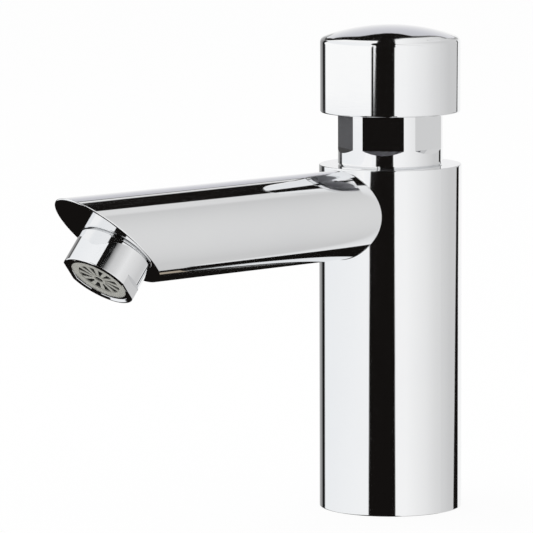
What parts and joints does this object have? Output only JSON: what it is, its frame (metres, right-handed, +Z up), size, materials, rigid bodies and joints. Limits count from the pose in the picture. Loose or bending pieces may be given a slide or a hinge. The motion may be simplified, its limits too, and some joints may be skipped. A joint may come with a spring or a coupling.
{
  "type": "push timed tap",
  "caption": "Chromed self-closing basin tap: straight round body, horizontal spout with mitred end and angled aerator, domed push button over a bonnet with spanner flats.",
  "frame": {"origin": "centre of the base, on the axis of the tail thread", "axes": "+Z up along the body axis, -Y along the spout, X across it"},
  "size_m": [0.045, 0.1585, 0.1529],
  "materials": {
    "chrome": "bright chrome plate on polished brass",
    "brass": "turned brass",
    "steel": "turned and drawn stainless steel",
    "rubber": "moulded black rubber",
    "acetal": "white acetal",
    "grey_plastic": "moulded light grey plastic"
  },
  "bodies": {
    "tap_body": {"body": "chrome", "base_gasket": "rubber", "spout": "chrome", "spout_braze_fillet": "chrome", "bonnet": "chrome", "bonnet_o_ring": "rubber", "stem_bush": "acetal", "stem_o_ring": "rubber", "gland_circlip": "steel", "bleed_pin": "steel", "return_spring": "steel", "cartridge_sleeve": "brass", "sleeve_o_ring": "rubber", "valve_seat": "steel", "strainer": "steel", "flow_regulator": "acetal", "regulator_o_ring": "rubber", "aerator_shell": "chrome", "aerator_washer": "rubber", "aerator_insert": "grey_plastic", "aerator_sieve": "steel"},
    "push_assembly": {"push_button": "chrome", "button_lock_nut": "steel", "stem": "steel", "piston": "acetal", "piston_lip_seal": "rubber", "piston_circlip": "steel", "valve_washer": "rubber", "valve_cup": "brass", "valve_nut": "brass"}
  },
  "joints": [
    {"name": "button_press", "type": "slide", "parent": "tap_body", "child": "push_assembly", "axis": [0, 0, -1], "range_m": [0, 0.01], "stiffness_N_per_m": 2000, "springref_m": -0.005, "deforming": ["return_spring"]}
  ]
}
